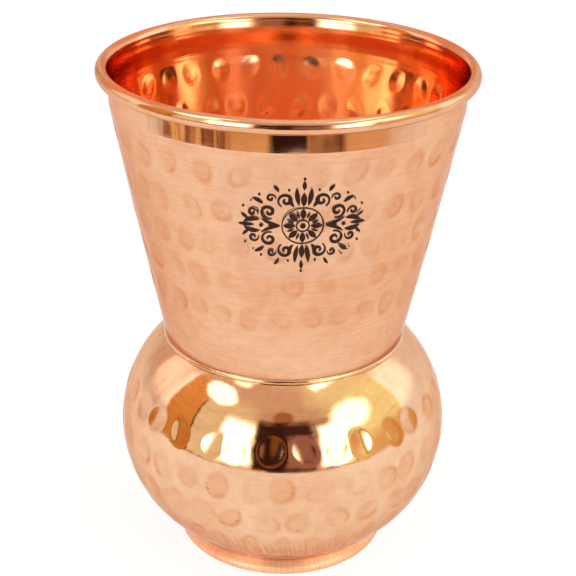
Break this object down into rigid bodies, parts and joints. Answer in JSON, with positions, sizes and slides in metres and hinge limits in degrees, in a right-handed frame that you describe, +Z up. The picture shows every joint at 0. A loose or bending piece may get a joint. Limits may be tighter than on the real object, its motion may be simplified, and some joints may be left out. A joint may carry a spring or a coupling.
{
  "type": "hammered copper water tumbler",
  "caption": "Hammered copper water tumbler: a flared conical cup with a rolled rim on a round lota-shaped bulb and a low foot ring.",
  "frame": {"origin": "centre of the resting plane under the foot ring, on the tumbler's axis", "axes": "+Z up along the tumbler's axis, towards the mouth; -Y is the front, where the clear label is"},
  "size_m": [0.086, 0.086, 0.1214],
  "materials": {
    "copper_cup": null,
    "copper_bulb": "mirror-polished copper sheet with hammered dents below the shoulder; brass stands in for copper",
    "copper_foot": "polished copper strip with fine upright wrinkle lines; brass stands in for copper",
    "copper_base": "satin copper disc with turning lines; brass stands in for copper",
    "filler": "brazing alloy, part polished, with dark flux specks",
    "label_film": "clear gloss film",
    "label_ink": "dark brown printed ornament, semi-matt"
  },
  "bodies": {
    "root": {"cup": "copper_cup", "bulb": "copper_bulb", "foot_ring": "copper_foot", "base_disc": "copper_base", "neck_braze": "filler", "foot_braze": "filler", "base_braze": "filler", "label_film": "label_film"}
  },
  "joints": []
}
